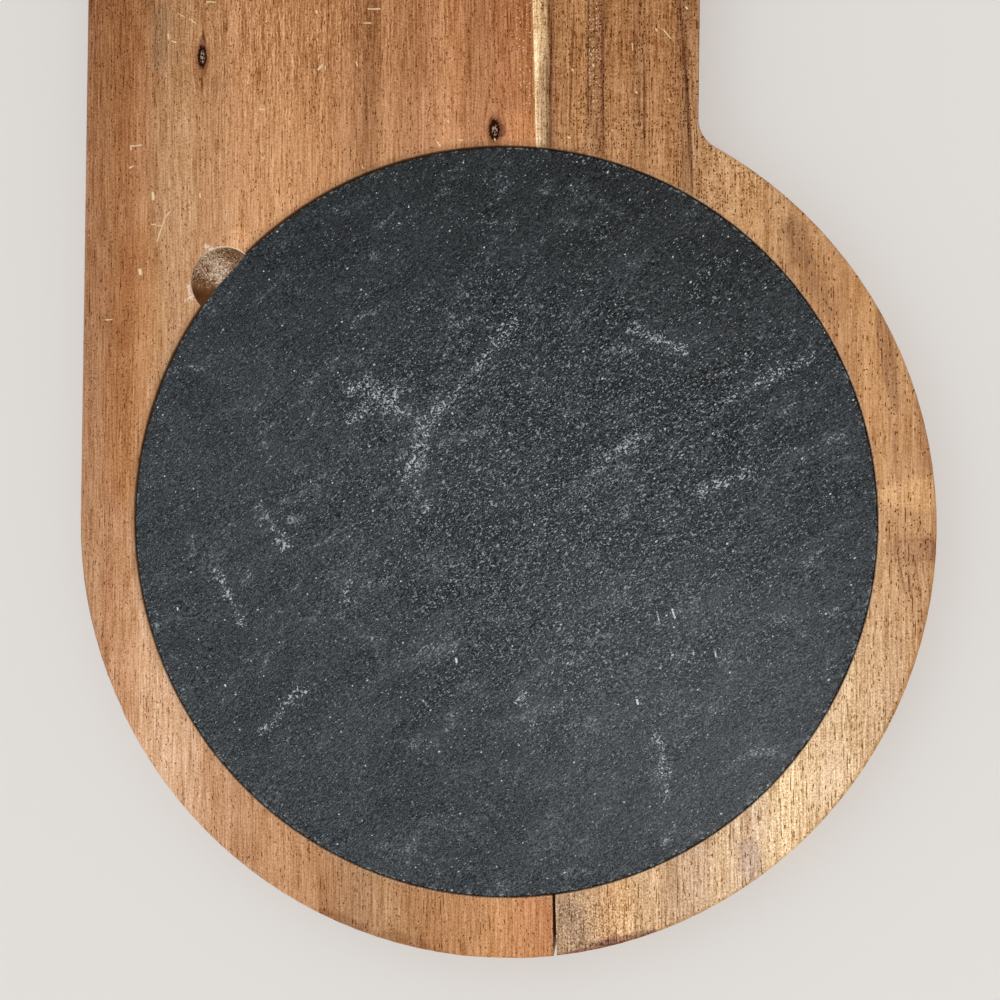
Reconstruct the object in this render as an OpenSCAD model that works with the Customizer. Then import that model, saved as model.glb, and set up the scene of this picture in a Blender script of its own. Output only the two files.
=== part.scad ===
// Serving board of two edge-glued planks with a loose round slate let into it.
// The frame's origin is the centre of the round end, on the underside.
// +Y runs towards the straight end, +X to the right, +Z up out of the board.

/* [Board] */
// Thickness of the wood
board_t = 15; // [12:0.5:22]
// Radius of the round end
round_r = 146.8; // [138:0.2:165]
// Width of the straight part, whose left edge runs on into the round end
straight_w = 217; // [180:1:250]
// Length from the foot of the round end to the straight end
board_l = 430; // [330:5:550]
// Radius of the inner corner between the straight part and the round end
inner_corner_r = 12; // [8:1:25]
// Radius of the two outer corners at the straight end
outer_corner_r = 12; // [6:1:30]
// Rounding of the outer edges, above and below
edge_r = 1.5; // [0.8:0.1:3]

/* [Slate] */
// Radius of the slate
slate_r = 127; // [105:1:129]
// Thickness of the slate
slate_t = 5; // [3:0.5:7]
// Bevel that dressing left round the slate's upper edge
slate_top_bevel = 0.5; // [0.2:0.1:1]
// Bevel round the slate's lower edge
slate_foot_bevel = 1.2; // [0.4:0.1:2]
// Place of the slate right of the round end's centre
slate_x = 1.4; // [-5:0.1:5]
// Place of the slate above the round end's centre, towards the straight end
slate_y = 1.2; // [-5:0.1:5]

/* [Recess] */
// Gap all round between the slate and the wall of its recess
slate_gap = 0.75; // [0.3:0.05:2]
// How far the slate's face lies below the wood's
slate_sunk = 0.5; // [0:0.1:1.5]
// Easing of the sharp edge round the recess
mouth_ease = 0.4; // [0.2:0.1:1]

/* [Finger scoop] */
// Radius of the ball-nosed cutter that made the scoop
scoop_r = 12; // [9:0.5:15]
// Depth of the scoop below the wood's face
scoop_depth = 10; // [8:0.5:11]
// Direction of the scoop from the slate's centre, in degrees from +X
scoop_turn = 138.9; // [100:0.1:170]
// How far the scoop's centre lies inside the slate's rim
scoop_inset = 0.9; // [0:0.1:3]

/* [Seam] */
// Where the glued seam crosses the middle of the round end
seam_x = 21; // [-30:1:45]
// Turn of the seam against the board's edges, in degrees
seam_skew = 2.1; // [-4:0.1:4]
// Thickness of the glue line
glue_t = 0.15; // [0.1:0.05:0.4]
// Length of the opened part of the joint, in from the round rim
split_l = 106; // [20:1:140]
// Width of the opened joint at the rim
split_w = 1.2; // [0.6:0.1:3]

/* [Hidden] */
$fn = 180;
ball_fn = 96;

// How far cutters run past the faces that they cut
overrun = 1;

// Straight part
left_x = -round_r;
right_x = straight_w - round_r;
middle_x = (left_x + right_x) / 2;
end_y = board_l - round_r;
shoulder_y = end_y - outer_corner_r;

// Inner corner: its arc is centred outside the wood, and bites a little into both edges
// that it joins, so that no sliver is left between them
corner_bite = 0.1;
corner_x = right_x + inner_corner_r;
corner_y = sqrt(pow(round_r + inner_corner_r, 2) - pow(corner_x, 2));
corner_turn = atan2(corner_y, corner_x);
corner_aim = 180 + corner_turn / 2;

// Recess and slate
recess_r = slate_r + slate_gap;
recess_z = board_t - slate_sunk - slate_t;

// Scoop: the ball's centre stands above the wood's face where the scoop is shallower
// than the ball
scoop_x = slate_x + (slate_r - scoop_inset) * cos(scoop_turn);
scoop_y = slate_y + (slate_r - scoop_inset) * sin(scoop_turn);
scoop_z = board_t - scoop_depth + scoop_r;

// Seam, along its own line: distance from the crossing point down to the rim, the tip
// of the opened joint, and how much wider the opening is on each side than the glue
rim_s = sqrt(pow(round_r, 2) - pow(seam_x * cos(seam_skew), 2)) - seam_x * sin(seam_skew);
tip_s = split_l - rim_s;
split_half = (split_w - glue_t) / 2;
reach = round_r + board_l;

// Quarter of a disc in the first quadrant
module quarter_disc(r) {
    intersection() {
        circle(r);
        square(r);
    }
}

// Slice across the wood, w wide, with its outer edge at the right eased above and below
module edge_slice(w) {
    square([w - edge_r, board_t]);
    translate([w - edge_r, edge_r]) square([edge_r, board_t - 2 * edge_r]);
    translate([w - edge_r, board_t - edge_r]) quarter_disc(edge_r);
    translate([w - edge_r, edge_r]) mirror([0, 1]) quarter_disc(edge_r);
}

// Three quarters of the round end: the straight part fills the fourth
module round_end() {
    rotate([0, 0, 180]) rotate_extrude(angle = 270) edge_slice(round_r);
}

// Straight part, from the middle of the round end up to the corners' shoulder
module straight_part() {
    translate([middle_x, shoulder_y, 0]) rotate([90, 0, 0])
        linear_extrude(height = shoulder_y) {
            edge_slice(straight_w / 2);
            mirror([1, 0]) edge_slice(straight_w / 2);
        }
}

// Straight end with its two rounded corners
module straight_end() {
    translate([left_x + outer_corner_r, shoulder_y, 0]) rotate([90, 0, 90])
        linear_extrude(height = straight_w - 2 * outer_corner_r) edge_slice(outer_corner_r);
    translate([right_x - outer_corner_r, shoulder_y, 0])
        rotate_extrude(angle = 90) edge_slice(outer_corner_r);
    translate([left_x + outer_corner_r, shoulder_y, 0]) rotate([0, 0, 90])
        rotate_extrude(angle = 90) edge_slice(outer_corner_r);
}

// Hollow corner where the straight part's right edge runs into the round end
module inner_corner() {
    translate([corner_x + corner_bite * cos(corner_aim), corner_y + corner_bite * sin(corner_aim), 0])
        rotate([0, 0, 180]) rotate_extrude(angle = corner_turn)
            translate([2 * inner_corner_r, 0]) mirror([1, 0]) edge_slice(inner_corner_r);
}

// Round recess for the slate, its mouth eased
module recess() {
    translate([slate_x, slate_y, recess_z]) cylinder(h = board_t, r = recess_r);
    translate([slate_x, slate_y, board_t - mouth_ease])
        cylinder(h = mouth_ease + overrun, r1 = recess_r, r2 = recess_r + mouth_ease + overrun);
}

// Scoop that lets a fingertip under the slate's rim
module scoop() {
    translate([scoop_x, scoop_y, scoop_z]) sphere(scoop_r, $fn = ball_fn);
}

// The board as it was cut and routed after gluing, before the joint opened
module routed_board() {
    difference() {
        union() {
            round_end();
            straight_part();
            straight_end();
            inner_corner();
        }
        recess();
        scoop();
    }
}

// Upright block over a plan drawn along the seam, whose line is that plan's +Y axis
module along_seam() {
    translate([seam_x, 0, -overrun]) rotate([0, 0, seam_skew])
        linear_extrude(height = board_t + 2 * overrun) children();
}

// Plan of all the wood on one side of the seam, -1 left and 1 right, drawn back where
// the joint has opened
module plank_plan(side) {
    polygon([
        [side * glue_t / 2, reach],
        [side * glue_t / 2, tip_s],
        [side * (glue_t / 2 + split_half * (1 + overrun / split_l)), -rim_s - overrun],
        [side * reach, -rim_s - overrun],
        [side * reach, reach]
    ]);
}

module left_plank() {
    color("#ad6f43") intersection() {
        routed_board();
        along_seam() plank_plan(-1);
    }
}

module right_plank() {
    color("#b08050") intersection() {
        routed_board();
        along_seam() plank_plan(1);
    }
}

// Cured film that still holds the planks, from the tip of the opened joint to the end
module glue_line() {
    color("#4a3222") intersection() {
        routed_board();
        along_seam() translate([-glue_t / 2, tip_s]) square([glue_t, reach]);
    }
}

module slate_disc() {
    color("#3d4347") translate([slate_x, slate_y, recess_z]) rotate_extrude()
        polygon([
            [0, 0],
            [slate_r - slate_foot_bevel, 0],
            [slate_r, slate_foot_bevel],
            [slate_r, slate_t - slate_top_bevel],
            [slate_r - slate_top_bevel, slate_t],
            [0, slate_t]
        ]);
}

left_plank();
right_plank();
glue_line();
slate_disc();
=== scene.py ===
"""Looks of the slate serving board: two oiled planks, their glue line and a riven slate."""

import math

import bpy
from mathutils import Matrix, Vector, noise


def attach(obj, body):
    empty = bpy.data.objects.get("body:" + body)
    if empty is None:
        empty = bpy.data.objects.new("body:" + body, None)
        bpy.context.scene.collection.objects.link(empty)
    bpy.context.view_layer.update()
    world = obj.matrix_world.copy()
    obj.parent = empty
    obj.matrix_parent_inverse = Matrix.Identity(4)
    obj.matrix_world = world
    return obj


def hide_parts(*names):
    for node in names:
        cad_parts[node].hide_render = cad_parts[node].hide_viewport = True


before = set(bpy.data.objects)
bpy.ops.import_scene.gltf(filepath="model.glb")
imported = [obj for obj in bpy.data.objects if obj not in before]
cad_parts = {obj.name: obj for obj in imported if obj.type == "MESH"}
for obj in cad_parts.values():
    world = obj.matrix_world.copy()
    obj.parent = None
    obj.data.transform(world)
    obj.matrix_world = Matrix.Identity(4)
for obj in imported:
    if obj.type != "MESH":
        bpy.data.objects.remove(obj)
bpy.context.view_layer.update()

MM = 0.001

# Places in the board's frame, in millimetres, as part.scad has them
BOARD_T = 15
SEAM_X = 21
SLATE_AT = (1.4, 1.2)
SLATE_R = 127
SLATE_TOP = 14.5
RECESS_R = 127.75
RECESS_FLOOR = 9.5
SCOOP_AT = (-93.62, 84.10, 17.0)
SCOOP_R = 12

# Copies of the CAD meshes: how near corners are merged, the thinnest sliver that a cut may
# leave, and the angle in degrees from which on an edge is shaded as sharp
MERGE = 0.001
SLIVER = 0.02
SHARP_TURN = 30

# Recess: how far its wall is drawn in to the slate, how much of the mouth's easing is kept, and
# how far wall and mouth reach from the recess's radius. The upper left, at TIGHT_TURN degrees,
# is drawn in less by TIGHT_SHARE.
RECESS_PULL = 0.56
MOUTH_SHARE = 0.4
MOUTH_W = 0.6
TIGHT_TURN = 135
TIGHT_SHARE = 0.6
# How far below its floor the recess may begin, and what counts as an upright face and as one
# that doesn't look towards the slate
FLOOR_SLACK = 0.1
UPRIGHT = 0.1
SIDEWAYS = 0.5

# Slate: grid lines across its face, the bevel inside its rim, the rim's largest radius, and the
# rings below the face: outwards, down, and a seed. The last ring is smooth.
SLATE_STEPS = 270
SLATE_BEVEL = 0.35
RIM_LIMIT = 127.05
SLATE_RINGS = [(0.25, 0.25, 1), (0.35, 0.8, 2), (0.35, 2.2, 3), (0.25, 3.6, 4), (-0.6, 5.0, 5)]
SMOOTH_DROP = 4.9
CENTRE_SLACK = 1e-9
# Chips on the rings: size against the ring, depth, and how much of it goes upwards
CHIPS_ROUND = 24
CHIP_DEEP = 0.12
CHIP_RISE = 0.8
UNDERSIDE = -0.9
# The rim's own shape: how far, and towards which angle, it is out of round, its mean pull, and
# its coarse and fine raggedness as waves round the rim and height
LEAN = 0.10
LEAN_TURN = -60
RIM_PULL = 0.08
COARSE_RAG = (9, 0.10)
FINE_RAG = (60, 0.09)
# The face's relief: how far and over what length its cleavage wanders, then the size of each
# wave along and across the cleavage, and its height
WANDER_MM = 60
WANDER = 14
SWELL = (60, 38, 0.14)
LEAF = (24, 9, 0.07)
RIVEN_GRAIN = (4.5, 2.2, 0.06)
FACE_SUNK = 0.12
# How many leaves the cleavage steps over, and how steep each step is
LEAVES = 3
STEP_STEEP = 5

# Scoop's cutter: its oversize, the size of torn fibres and lumps, and how far they stand out in
# its upper part, from the given place on over the given length
BALL_STEPS = 6
SCOOP_SPARE = 0.15
FIBRE_MM = (0.8, 2.2, 0.8)
LUMP_MM = (3, 4, 3)
FIBRE_DEEP = 0.30
LUMP_DEEP = 0.35
LUMP_EVERYWHERE = 0.05
TORN_FROM = -5
TORN_OVER = 4

# Knots: place across and along the grain, and half their width and length
KNOTS = [((-121.3, 165.5), (1.7, 4.2)), ((-16.9, 134.0), (1.9, 3.6))]
# Their pits: depth, share of the knot's width and length, and raggedness and its waves
KNOT_DEPTH = 0.45
PIT_SHARES = (0.75, 0.8)
PIT_RAG = 0.25
PIT_WAVES = 2.5
PIT_SEGMENTS = 32
PIT_RINGS = 20

# Direction of the grain against the board's edges, and of the slate's cleavage lines from +X,
# both in degrees
GRAIN_TURN = 0.85
CLEAVAGE_TURN = 37

# Camera above the board, a little to its right, looking back down at it
CAMERA_AT = (56.36, 6.73, 366.29)
CAMERA_LEAN = 8.21
CAMERA_PITCH = 0.36
CAMERA_TURN = 0.70
CAMERA_LENS = 37.8
CAMERA_SENSOR = 36
CAMERA_NEAR = 10

# Soft lamp that stands above the board's lower right
LAMP_AIM = (60, -20, 15)
LAMP_FROM = (0.17, -0.30, 0.94)
LAMP_AWAY = 5000
LAMP_SIZE = 1540
LAMP_WATTS = 122
# Strength of the sky overhead and below the horizon, where it is weakest, and how far down it
# still changes
SKY_OVERHEAD = 0.24
SKY_HORIZON = 1.15
SKY_DARKEST = (0.22, -0.16, 1.0)
SKY_LOWEST = -0.25
# Plain floor
FLOOR_COLOUR = (0.80, 0.775, 0.745)
FLOOR_SIZE = 4000
FLOOR_ROUGH = 0.9
FLOOR_SHEEN = 0.1

# Half size of an oval that takes no notice of depth, and the sizes that measure from an axis
DEEP = 99
ROUND = (1, 1, 9999)
# Marks: the share of a cell's chances at which its mark is full, the least step and size, and
# how sharp its side is. Strokes: where their sides fade, against the width, and how late their
# ends are drawn in.
FULL_SHARE = 0.5
LEAST_STEP = 0.002
LEAST_MARK = 0.001
MARK_SHARPNESS = 0.7
STROKE_FADE = (0.5, 0.2)
TAPER_POWER = 4.0


class Finish:
    """One procedural material, with short ways to add its nodes."""

    def __init__(self, name):
        self.material = bpy.data.materials.new(name)
        self.material.use_nodes = True
        self.tree = self.material.node_tree
        self.shader = self.tree.nodes["Principled BSDF"]

    def node(self, kind, **settings):
        made = self.tree.nodes.new(kind)
        for setting, value in settings.items():
            setattr(made, setting, value)
        return made

    def feed(self, socket, value):
        if isinstance(value, bpy.types.NodeSocket):
            self.tree.links.new(value, socket)
        else:
            socket.default_value = value

    def maths(self, operation, a, b=0.0):
        made = self.node("ShaderNodeMath", operation=operation)
        for socket, value in zip(made.inputs, (a, b)):
            self.feed(socket, value)
        return made.outputs[0]

    def plus(self, a, b):
        return self.maths("ADD", a, b)

    def minus(self, a, b):
        return self.maths("SUBTRACT", a, b)

    def times(self, a, b):
        return self.maths("MULTIPLY", a, b)

    def total(self, start, *parts):
        """The start, with each part's value times its amount added."""
        for (value, amount) in parts:
            start = self.plus(start, self.times(value, amount))
        return start

    def swing(self, value, amount, middle=0.5):
        """Turns a value about its middle into one about nought, amount times as large."""
        return self.times(self.minus(value, middle), amount)

    def most(self, *values):
        result = values[0]
        for value in values[1:]:
            result = self.maths("MAXIMUM", result, value)
        return result

    def fade(self, value, start, end, low=0.0, high=1.0):
        """Smooth step from low, where value is at start, to high, where it is at end."""
        made = self.node("ShaderNodeMapRange", interpolation_type="SMOOTHSTEP")
        for socket, given in zip(made.inputs, (value, start, end, low, high)):
            self.feed(socket, given)
        return made.outputs[0]

    def vector(self, operation, a, b=(0, 0, 0)):
        made = self.node("ShaderNodeVectorMath", operation=operation)
        self.feed(made.inputs[0], a)
        self.feed(made.inputs[1], b)
        number = operation in ("LENGTH", "DOT_PRODUCT", "DISTANCE")
        return made.outputs["Value" if number else "Vector"]

    def join(self, x, y, z):
        made = self.node("ShaderNodeCombineXYZ")
        for socket, value in zip(made.inputs, (x, y, z)):
            self.feed(socket, value)
        return made.outputs[0]

    def split(self, place):
        made = self.node("ShaderNodeSeparateXYZ")
        self.feed(made.inputs[0], place)
        return made.outputs

    def space(self, place, at=(0, 0, 0), turn=0.0, sizes=(1, 1, 1)):
        """Place as measured from at, along axes turned by turn degrees, in units of sizes."""
        made = self.node("ShaderNodeMapping", vector_type="TEXTURE")
        self.feed(made.inputs["Vector"], place)
        made.inputs["Location"].default_value = at
        made.inputs["Rotation"].default_value = (0, 0, math.radians(turn))
        made.inputs["Scale"].default_value = sizes
        return made.outputs[0]

    def object_mm(self, at=(0, 0, 0), turn=0.0):
        """Place on the object in millimetres from at."""
        made = self.node("ShaderNodeTexCoord")
        return self.space(made.outputs["Object"], [k * MM for k in at], turn, (MM, MM, MM))

    def cloud(self, place, sizes, at=(0, 0, 0), detail=1, rough=0.5, warp=0.0):
        """Soft noise between nought and one, with waves of the given sizes."""
        made = self.node("ShaderNodeTexNoise", noise_type="FBM")
        self.feed(made.inputs["Vector"], self.space(place, at, sizes=sizes))
        made.inputs["Scale"].default_value = 1.0
        made.inputs["Detail"].default_value = detail
        made.inputs["Roughness"].default_value = rough
        made.inputs["Distortion"].default_value = warp
        return made.outputs[0]

    def marks(self, place, sizes, share, radius):
        """Oval marks on a plane, one in a share of its cells, and radius of a cell wide."""
        made = self.node("ShaderNodeTexVoronoi", feature="F1", voronoi_dimensions="2D")
        self.feed(made.inputs["Vector"], self.space(place, sizes=(*sizes, 1)))
        made.inputs["Scale"].default_value = 1.0
        start = self.minus(1.0, share)
        chance = self.split(made.outputs["Color"])[0]
        full = self.plus(self.total(start, (share, FULL_SHARE)), LEAST_STEP)
        size = self.fade(chance, start, full, LEAST_MARK, radius)
        return self.fade(made.outputs["Distance"], size, self.times(size, MARK_SHARPNESS))

    def ramp(self, value, stops):
        """Colour at value, from stops of (value, colour) in rising order."""
        low, high = stops[0][0], stops[-1][0]
        share = self.node("ShaderNodeMapRange")
        for socket, given in zip(share.inputs, (value, low, high, 0.0, 1.0)):
            self.feed(socket, given)
        made = self.node("ShaderNodeValToRGB")
        self.feed(made.inputs[0], share.outputs[0])
        band = made.color_ramp
        while len(band.elements) < len(stops):
            band.elements.new(1.0)
        for element, (at, colour) in zip(band.elements, stops):
            element.position = (at - low) / (high - low)
            element.color = (*colour, 1)
        return made.outputs[0]

    def mix(self, share, a, b):
        """Colour a, with a share of colour b laid over it."""
        made = self.node("ShaderNodeMix", data_type="RGBA", blend_type="MIX")
        made.clamp_factor = True
        self.feed(made.inputs[0], share)
        for socket, value in ((made.inputs[6], a), (made.inputs[7], b)):
            self.feed(socket, value if isinstance(value, bpy.types.NodeSocket) else (*value, 1))
        return made.outputs[2]

    def shaded(self, share, colour, shade):
        """Colour, with a share of it multiplied by a shade."""
        return self.mix(share, colour, self.vector("MULTIPLY", colour, shade))

    def tint(self, colour, amount):
        """Colour made lighter or darker by a number about one."""
        made = self.node("ShaderNodeVectorMath", operation="SCALE")
        self.feed(made.inputs[0], colour)
        self.feed(made.inputs["Scale"], amount)
        return made.outputs[0]

    def stroke(self, place, start, end, width, wobble=0.0, taper=0.0):
        """One along a straight stroke from start to end, fading to nought at its sides.

        taper is how much the stroke is drawn in at its two ends.
        """
        run = Vector(end) - Vector(start)
        away = self.vector("SUBTRACT", place, start)
        share = self.times(self.vector("DOT_PRODUCT", away, run), 1 / run.length_squared)
        held = self.node("ShaderNodeClamp")
        self.feed(held.inputs[0], share)
        reach = self.node("ShaderNodeVectorMath", operation="SCALE")
        reach.inputs[0].default_value = run
        self.feed(reach.inputs["Scale"], held.outputs[0])
        distance = self.vector("DISTANCE", away, reach.outputs[0])
        if taper:
            ends = self.maths("ABSOLUTE", self.swing(held.outputs[0], 2.0))
            distance = self.total(distance, (self.maths("POWER", ends, TAPER_POWER), taper))
        start, end = (width * share for share in STROKE_FADE)
        return self.fade(self.plus(distance, wobble), start, end)

    def strokes(self, place, top, lines, wobble, spread=1):
        """One along any of the lines, each given by its start, end and width."""
        return self.most(*[self.stroke(place, (*a, top), (*b, top), width * spread, wobble)
                           for (a, b, width) in lines])

    def spot(self, place, at, sizes):
        """Distance from at in units of sizes, so one at the edge of an oval."""
        return self.vector("LENGTH", self.space(place, at, sizes=sizes))

    def oval(self, place, top, shape, fading, wander=0.0):
        """One in an oval, given by its middle and half size, that fades as given round it."""
        (at, half) = shape
        reach = self.spot(place, (*at, top), (*half, DEEP))
        return self.fade(self.plus(reach, wander), *fading)

    def surface(self, colour, roughness, height):
        """Connects the finished colour, roughness and height, the last in millimetres."""
        self.feed(self.shader.inputs["Base Color"], colour)
        self.feed(self.shader.inputs["Roughness"], roughness)
        bump = self.node("ShaderNodeBump")
        bump.inputs["Strength"].default_value = 1.0
        bump.inputs["Distance"].default_value = MM
        self.feed(bump.inputs["Height"], height)
        self.feed(self.shader.inputs["Normal"], bump.outputs[0])
        return self.material


# Bands of colour across the grain: millimetres from the seam at the middle of the round end
LEFT_BANDS = [
    (-170, (0.37, 0.170, 0.078)), (-156, (0.37, 0.154, 0.054)), (-149, (0.38, 0.150, 0.051)),
    (-144, (0.45, 0.200, 0.081)), (-138, (0.49, 0.250, 0.113)), (-132, (0.52, 0.273, 0.127)),
    (-126, (0.56, 0.295, 0.137)), (-120, (0.51, 0.245, 0.106)), (-114, (0.52, 0.253, 0.109)),
    (-108, (0.60, 0.291, 0.128)), (-96, (0.60, 0.288, 0.123)), (-84, (0.58, 0.270, 0.113)),
    (-72, (0.56, 0.259, 0.109)), (-65, (0.50, 0.233, 0.101)), (-61, (0.39, 0.172, 0.067)),
    (-58, (0.42, 0.188, 0.074)), (-54, (0.59, 0.280, 0.124)), (-48, (0.49, 0.221, 0.094)),
    (-42, (0.51, 0.233, 0.102)), (-35, (0.60, 0.273, 0.119)), (-30, (0.58, 0.256, 0.106)),
    (-22, (0.47, 0.202, 0.083)), (-12, (0.55, 0.227, 0.095)), (-5, (0.53, 0.215, 0.081)),
    (4, (0.52, 0.210, 0.078)),
]
LEFT_LOW_BANDS = [
    (-170, (0.46, 0.235, 0.112)), (-156, (0.53, 0.256, 0.121)), (-150, (0.60, 0.302, 0.146)),
    (-143, (0.68, 0.380, 0.202)), (-126, (0.66, 0.378, 0.206)), (-118, (0.59, 0.307, 0.154)),
    (-108, (0.51, 0.252, 0.118)), (-96, (0.55, 0.274, 0.123)), (-84, (0.49, 0.228, 0.093)),
    (-72, (0.42, 0.198, 0.081)), (-63, (0.39, 0.192, 0.079)), (-54, (0.45, 0.224, 0.089)),
    (-42, (0.42, 0.180, 0.061)), (-30, (0.48, 0.207, 0.070)), (-24, (0.47, 0.201, 0.066)),
    (-17, (0.58, 0.260, 0.087)), (-6, (0.50, 0.187, 0.053)), (4, (0.52, 0.197, 0.058)),
]
RIGHT_BANDS = [
    (-4.5, (1.06, 0.740, 0.410)), (-2.4, (1.02, 0.710, 0.390)), (-1.4, (0.86, 0.570, 0.305)),
    (0.6, (0.70, 0.440, 0.220)), (1.9, (0.29, 0.132, 0.050)), (3.0, (0.34, 0.154, 0.058)),
    (4.4, (0.42, 0.190, 0.070)), (9, (0.44, 0.202, 0.074)), (13, (0.50, 0.232, 0.086)),
    (15.5, (0.36, 0.166, 0.064)), (19, (0.37, 0.168, 0.064)), (23, (0.44, 0.198, 0.073)),
    (28, (0.43, 0.193, 0.070)), (32, (0.36, 0.158, 0.056)), (37, (0.43, 0.192, 0.070)),
    (43, (0.41, 0.181, 0.065)), (47, (0.32, 0.146, 0.055)), (52, (0.44, 0.212, 0.083)),
    (58, (0.51, 0.257, 0.104)), (68, (0.54, 0.272, 0.108)), (78, (0.45, 0.222, 0.087)),
    (87, (0.47, 0.221, 0.084)), (97, (0.46, 0.215, 0.081)), (105, (0.58, 0.288, 0.112)),
    (113, (0.51, 0.250, 0.095)), (128, (0.47, 0.228, 0.086)),
]
RIGHT_LOW_BANDS = [
    (2, (0.32, 0.165, 0.066)), (8, (0.44, 0.244, 0.110)), (16, (0.50, 0.265, 0.105)),
    (22, (0.65, 0.346, 0.138)), (27, (0.70, 0.390, 0.158)), (32, (0.55, 0.310, 0.126)),
    (37, (0.59, 0.324, 0.136)), (42, (0.47, 0.251, 0.107)), (52, (0.53, 0.301, 0.144)),
    (57, (0.64, 0.387, 0.178)), (67, (0.55, 0.325, 0.158)), (72, (0.66, 0.415, 0.204)),
    (78, (0.82, 0.535, 0.248)), (87, (0.68, 0.414, 0.186)), (92, (0.62, 0.369, 0.166)),
    (99, (0.64, 0.378, 0.164)), (108, (0.54, 0.298, 0.120)), (113, (0.48, 0.247, 0.091)),
    (118, (0.53, 0.268, 0.096)), (126, (0.46, 0.219, 0.076)),
]

# Between which places along the board the upper bands pass into the lower ones
LEFT_CHANGE = (110, -50)
RIGHT_CHANGE = (25, -65)

# Values that fade from one to another are given as two places, where the fade starts and ends,
# and the two strengths there if they aren't nought and one.

# Wood: size of each texture across, along and through the grain, in millimetres
SWAY_MM = (40, 130, 40)
CROWD_MM = (4, 45, 4)
CURL_MM = (2.4, 4.2, 2.4)
BROAD_MM = (6, 190, 6)
STREAK_MM = (1.7, 70, 1.7)
MOTTLE_MM = (7, 16, 7)
STRAY_MM = (1.8, 3.6, 1.8)
BREAKS_MM = (0.9, 3.0, 0.9)
THREAD_MM = (0.60, 16, 0.60)
WOOD_GRIT_MM = (0.45, 0.55, 0.45)
RIPPLE_MM = (6, 1.3, 6)
CRUMBLE_MM = (0.6, 0.8, 0.6)
# Where pores crowd
CROWD_FADE = (0.38, 0.66)
# How far curls push the fibres: everywhere, and more where the grain curls
CURL_SWING = (0.3, 2.4)
# Strands: their spacing, how far they stray, and their own light and breaks
STRAND_MM = 1.15
STRAND_STRAY = 1.4
STRAND_FADE = (-0.3, 0.95)
BREAKS_FADE = (0.36, 0.60)
STRAND_MIDDLE = 0.20
# How much each texture changes the wood's light, and the light's lower limit
BROAD_LIGHT = 0.40
STREAK_LIGHT = 0.50
MOTTLE_LIGHT = 0.14
THREAD_LIGHT = 0.70
GRIT_LIGHT = 0.50
DARKEST_LIGHT = 0.2
# Where along the board the light falls off towards the straight end
UPPER_DIM = (190, 108, 0.77, 1.0)
# Darker wood is redder too: powers of its light that green and blue follow
GREEN_POWER = 1.38
BLUE_POWER = 1.9
# Roughness and relief of the wood, its pores, and its sheen by light
WOOD_ROUGH = 0.38
MOTTLE_ROUGH = 0.2
BARE_ROUGH = 0.3
THREAD_HIGH = 0.05
PORE_DEEP = 0.08
SHEEN = (0.5, 1.7, 0.10, 0.62)

# Left plank: light, curls outside and inside the curly place, threads and flecks, share of dots
# and dashes at least and where pores crowd, share of long pores, and darkness of the pores
LEFT_LIGHT = 1.06
LEFT_CURLS = (0.08, 0.40)
LEFT_FIBRES = (1.95, 2.1)
LEFT_DOTS = (0.015, 0.13)
LEFT_DASHES = (0.03, 0.20)
LEFT_LINES = 0.14
LEFT_INK = 0.80
# The same for the right plank, whose pores are less dark in the low part
RIGHT_LIGHT = 1.14
RIGHT_CURLS = 0.10
RIGHT_RIPPLES = 0.45
RIGHT_FIBRES = (2.2, 2.4)
RIGHT_DOTS = (0.04, 0.15)
RIGHT_DASHES = (0.08, 0.24)
RIGHT_LINES = 0.12
RIGHT_INK = (0.92, 0.75)
# Along the board: where the right plank's rim grows low and streaked, where the plank is calm,
# and where dots grow fewer
RIGHT_LOW = (10, -75)
RIGHT_CALM = (115, 70)
FEWER_DOTS = (20, -75, 1.0, 0.35)
# What porous patches, the low part, the calm part and the rough place add there
PATCH_LIGHT = 0.03
PATCH_DOTS = 0.38
PATCH_DASHES = 0.12
LOW_DASHES = 0.05
LOW_LINES = 0.38
LOW_THREADS = 0.45
LOW_FLECKS = 0.9
CALM_LIGHT = -0.05
CALM_RIPPLES = -0.35
CALM_FIBRES = -0.6
ROUGH_FLECKS = 2.0
# How far each plank's bands stray sideways, and its textures' seed
LEFT_WANDER = 2.4
LEFT_SEED = 3
RIGHT_WANDER = 1.2
RIGHT_SEED = 11

# What a pore, the wood's rounded edge and the opened joint's walls do to its colour, and where.
# The edge's is painted shade on the rounding and sides, together with their darker end grain;
# the joint's is painted shade inside the open crack.
PORE_SHADE = (0.24, 0.115, 0.04)
EDGE_SHADE = (0.50, 0.42, 0.36)
EDGE_FADE = (BOARD_T - 0.1, BOARD_T - 0.9, 0.0, 0.7)
JOINT_PAINTED_SHADE = (0.05, 0.04, 0.04)
JOINT_FADE = (BOARD_T - 0.05, BOARD_T - 0.4)
JOINT_W = 3.2
OPEN_JOINT = ((25.6, -122.0, BOARD_T), (26.4, -150.0, BOARD_T))
# Dots, dashes and long pores: cells across and along the grain, and radius in cells
PORES = [((0.84, 1.05), 0.33), ((0.76, 3.2), 0.26), ((1.0, 18), 0.17)]
# How much pores lean through the wood, and where they end beside the sapwood
PORE_LEAN = 0.7
SAPWOOD_LEAN = 0.022
SAPWOOD_FADE = (1.9, 2.9, 0.1)
# Dust in the pores: its cells, their radius and share by place, and its cover
PORE_DUST = (0.88, 0.66, 0.48)
DUST_CELL = (1.1, 1.2)
DUST_RADIUS = 0.22
DUST_SHARE = (0.5, 1.3, 0, 0.7)
DUST_MOTTLE = 1.4
DUST_COVER = 0.85
# Nicks: their colour, raggedness, spread against the width given below, and cover
PALE_NICK = (0.88, 0.67, 0.43)
NICK_RAG = 0.5
NICK_SPREAD = 1.15
NICK_COVER = 0.9
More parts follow.
